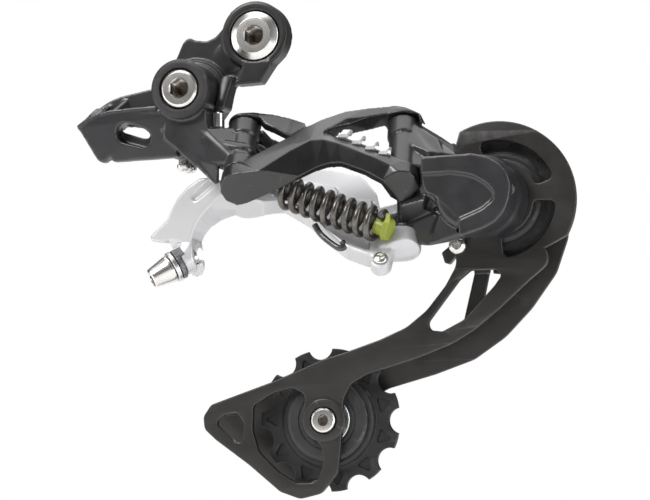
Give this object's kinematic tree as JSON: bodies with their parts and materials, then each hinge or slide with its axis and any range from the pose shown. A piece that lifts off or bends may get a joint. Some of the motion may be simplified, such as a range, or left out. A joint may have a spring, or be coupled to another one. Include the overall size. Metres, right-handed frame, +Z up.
{
  "type": "rear bicycle derailleur",
  "caption": "Long-cage rear bicycle derailleur: hanger link, four-bar linkage with return spring, knuckle and sprung cage carrying two toothed pulleys.",
  "frame": {"origin": "on the hanger bolt axis, on the face of the hanger link that seats on the frame hanger", "axes": "+X to the front of the bicycle, +Y inboard towards the wheel along the hanger bolt, +Z up"},
  "size_m": [0.1554, 0.0537, 0.1555],
  "materials": {
    "black_link_metal": "satin black",
    "grey_body_metal": "satin dark grey",
    "black_cage_metal": "satin black anodised",
    "silver_link_metal": "satin silver",
    "bright_steel": "bright turned",
    "spring_steel": "dark oiled",
    "black_resin": "fine matt",
    "green_plastic": "translucent green",
    "black_rubber": "matt"
  },
  "bodies": {
    "hanger_link": {"b_link": "black_link_metal", "hanger_bolt_clip": "spring_steel", "b_axle_bolt": "bright_steel"},
    "hanger_bolt": {"hanger_bolt": "bright_steel"},
    "bracket": {"bracket_body": "grey_body_metal", "b_axle_cap_ring": "black_resin", "b_axle_bushing": "bright_steel", "outer_link_rear_pin": "bright_steel", "inner_link_rear_pin": "bright_steel"},
    "b_tension_screw": {"b_tension_screw": "bright_steel"},
    "limit_screw_high": {"limit_screw_high": "bright_steel"},
    "limit_screw_low": {"limit_screw_low": "bright_steel"},
    "outer_link": {"outer_link": "black_link_metal", "outer_link_trim": "silver_link_metal"},
    "inner_link": {"inner_link": "silver_link_metal", "cable_clamp_plate": "spring_steel", "cable_clamp_washer": "bright_steel", "inner_link_screw": "bright_steel", "return_spring": "spring_steel", "spring_bush": "green_plastic"},
    "cable_anchor_bolt": {"cable_anchor_bolt": "bright_steel"},
    "knuckle": {"p_body": "grey_body_metal", "p_seal_ring": "black_rubber", "p_spring": "spring_steel", "outer_link_front_pin": "bright_steel", "inner_link_front_pin": "bright_steel"},
    "cage": {"cage_outer_plate": "black_cage_metal", "cage_inner_plate": "black_cage_metal", "cage_post": "black_cage_metal", "p_axle": "bright_steel", "tension_pulley_bolt": "bright_steel", "guide_pulley_bolt": "bright_steel", "guide_pulley_bush": "bright_steel", "guide_pulley_outer_cover": "black_resin", "guide_pulley_inner_cover": "black_resin", "tension_pulley_bush": "bright_steel", "tension_pulley_outer_cover": "black_resin", "tension_pulley_inner_cover": "black_resin"},
    "cage_stop_screw": {"cage_stop_screw": "bright_steel"},
    "guide_pulley": {"guide_pulley": "black_resin", "guide_pulley_bearing": "bright_steel"},
    "tension_pulley": {"tension_pulley": "black_resin", "tension_pulley_bearing": "bright_steel"}
  },
  "joints": [
    {"name": "hanger_bolt_turn", "type": "hinge", "parent": "hanger_link", "child": "hanger_bolt", "pos_m": [0, 0, 0], "axis": [0, 1, 0], "continuous": true},
    {"name": "b_pivot", "type": "hinge", "parent": "hanger_link", "child": "bracket", "pos_m": [-0.0198, -0.013, -0.0181], "axis": [0, 1, 0], "range_deg": [0, 30], "stiffness_Nm_per_rad": 0.6, "springref_deg": -34.38},
    {"name": "b_tension_screw_turn", "type": "hinge", "parent": "bracket", "child": "b_tension_screw", "pos_m": [-0.0101, -0.012, -0.03], "axis": [0, 0, 1], "continuous": true},
    {"name": "limit_screw_high_turn", "type": "hinge", "parent": "bracket", "child": "limit_screw_high", "pos_m": [-0.022, -0.0098, -0.038], "axis": [0, 0, 1], "continuous": true},
    {"name": "limit_screw_low_turn", "type": "hinge", "parent": "bracket", "child": "limit_screw_low", "pos_m": [-0.022, -0.0042, -0.038], "axis": [0, 0, 1], "continuous": true},
    {"name": "outer_link_swing", "type": "hinge", "parent": "bracket", "child": "outer_link", "pos_m": [-0.00156, -0.01415, -0.03739], "axis": [-0.104, 0.59, 0.8007], "range_deg": [0, 40], "stiffness_Nm_per_rad": 0.5, "springref_deg": -34.38},
    {"name": "inner_link_swing", "type": "hinge", "parent": "bracket", "child": "inner_link", "pos_m": [-0.00348, -0.0029, -0.05218], "axis": [-0.104, 0.59, 0.8007], "range_deg": [0, 40], "deforming": ["return_spring"]},
    {"name": "knuckle_swing", "type": "hinge", "parent": "outer_link", "child": "knuckle", "pos_m": [0.04744, -0.00565, -0.03729], "axis": [0.104, -0.59, -0.8007], "range_deg": [0, 40]},
    {"name": "cable_anchor_bolt_turn", "type": "hinge", "parent": "inner_link", "child": "cable_anchor_bolt", "pos_m": [-0.0231, -0.0086, -0.0713], "axis": [-0.766, -0.4233, -0.4838], "continuous": true},
    {"name": "cage_pivot", "type": "hinge", "parent": "knuckle", "child": "cage", "pos_m": [0.071, 0.007, -0.0522], "axis": [0, -1, 0], "range_deg": [0, 95], "stiffness_Nm_per_rad": 0.25, "springref_deg": -34.38},
    {"name": "cage_stop_screw_turn", "type": "hinge", "parent": "cage", "child": "cage_stop_screw", "pos_m": [0.0622, 0.007, -0.0664], "axis": [0, 1, 0], "continuous": true},
    {"name": "guide_pulley_spin", "type": "hinge", "parent": "cage", "child": "guide_pulley", "pos_m": [0.0745, 0.01475, -0.0523], "axis": [0, 1, 0], "continuous": true},
    {"name": "tension_pulley_spin", "type": "hinge", "parent": "cage", "child": "tension_pulley", "pos_m": [0.019, 0.01475, -0.1206], "axis": [0, 1, 0], "continuous": true}
  ],
  "couplings": [
    {"joint": "inner_link_swing", "follows": "outer_link_swing", "ratio": 1},
    {"joint": "knuckle_swing", "follows": "outer_link_swing", "ratio": 1}
  ]
}
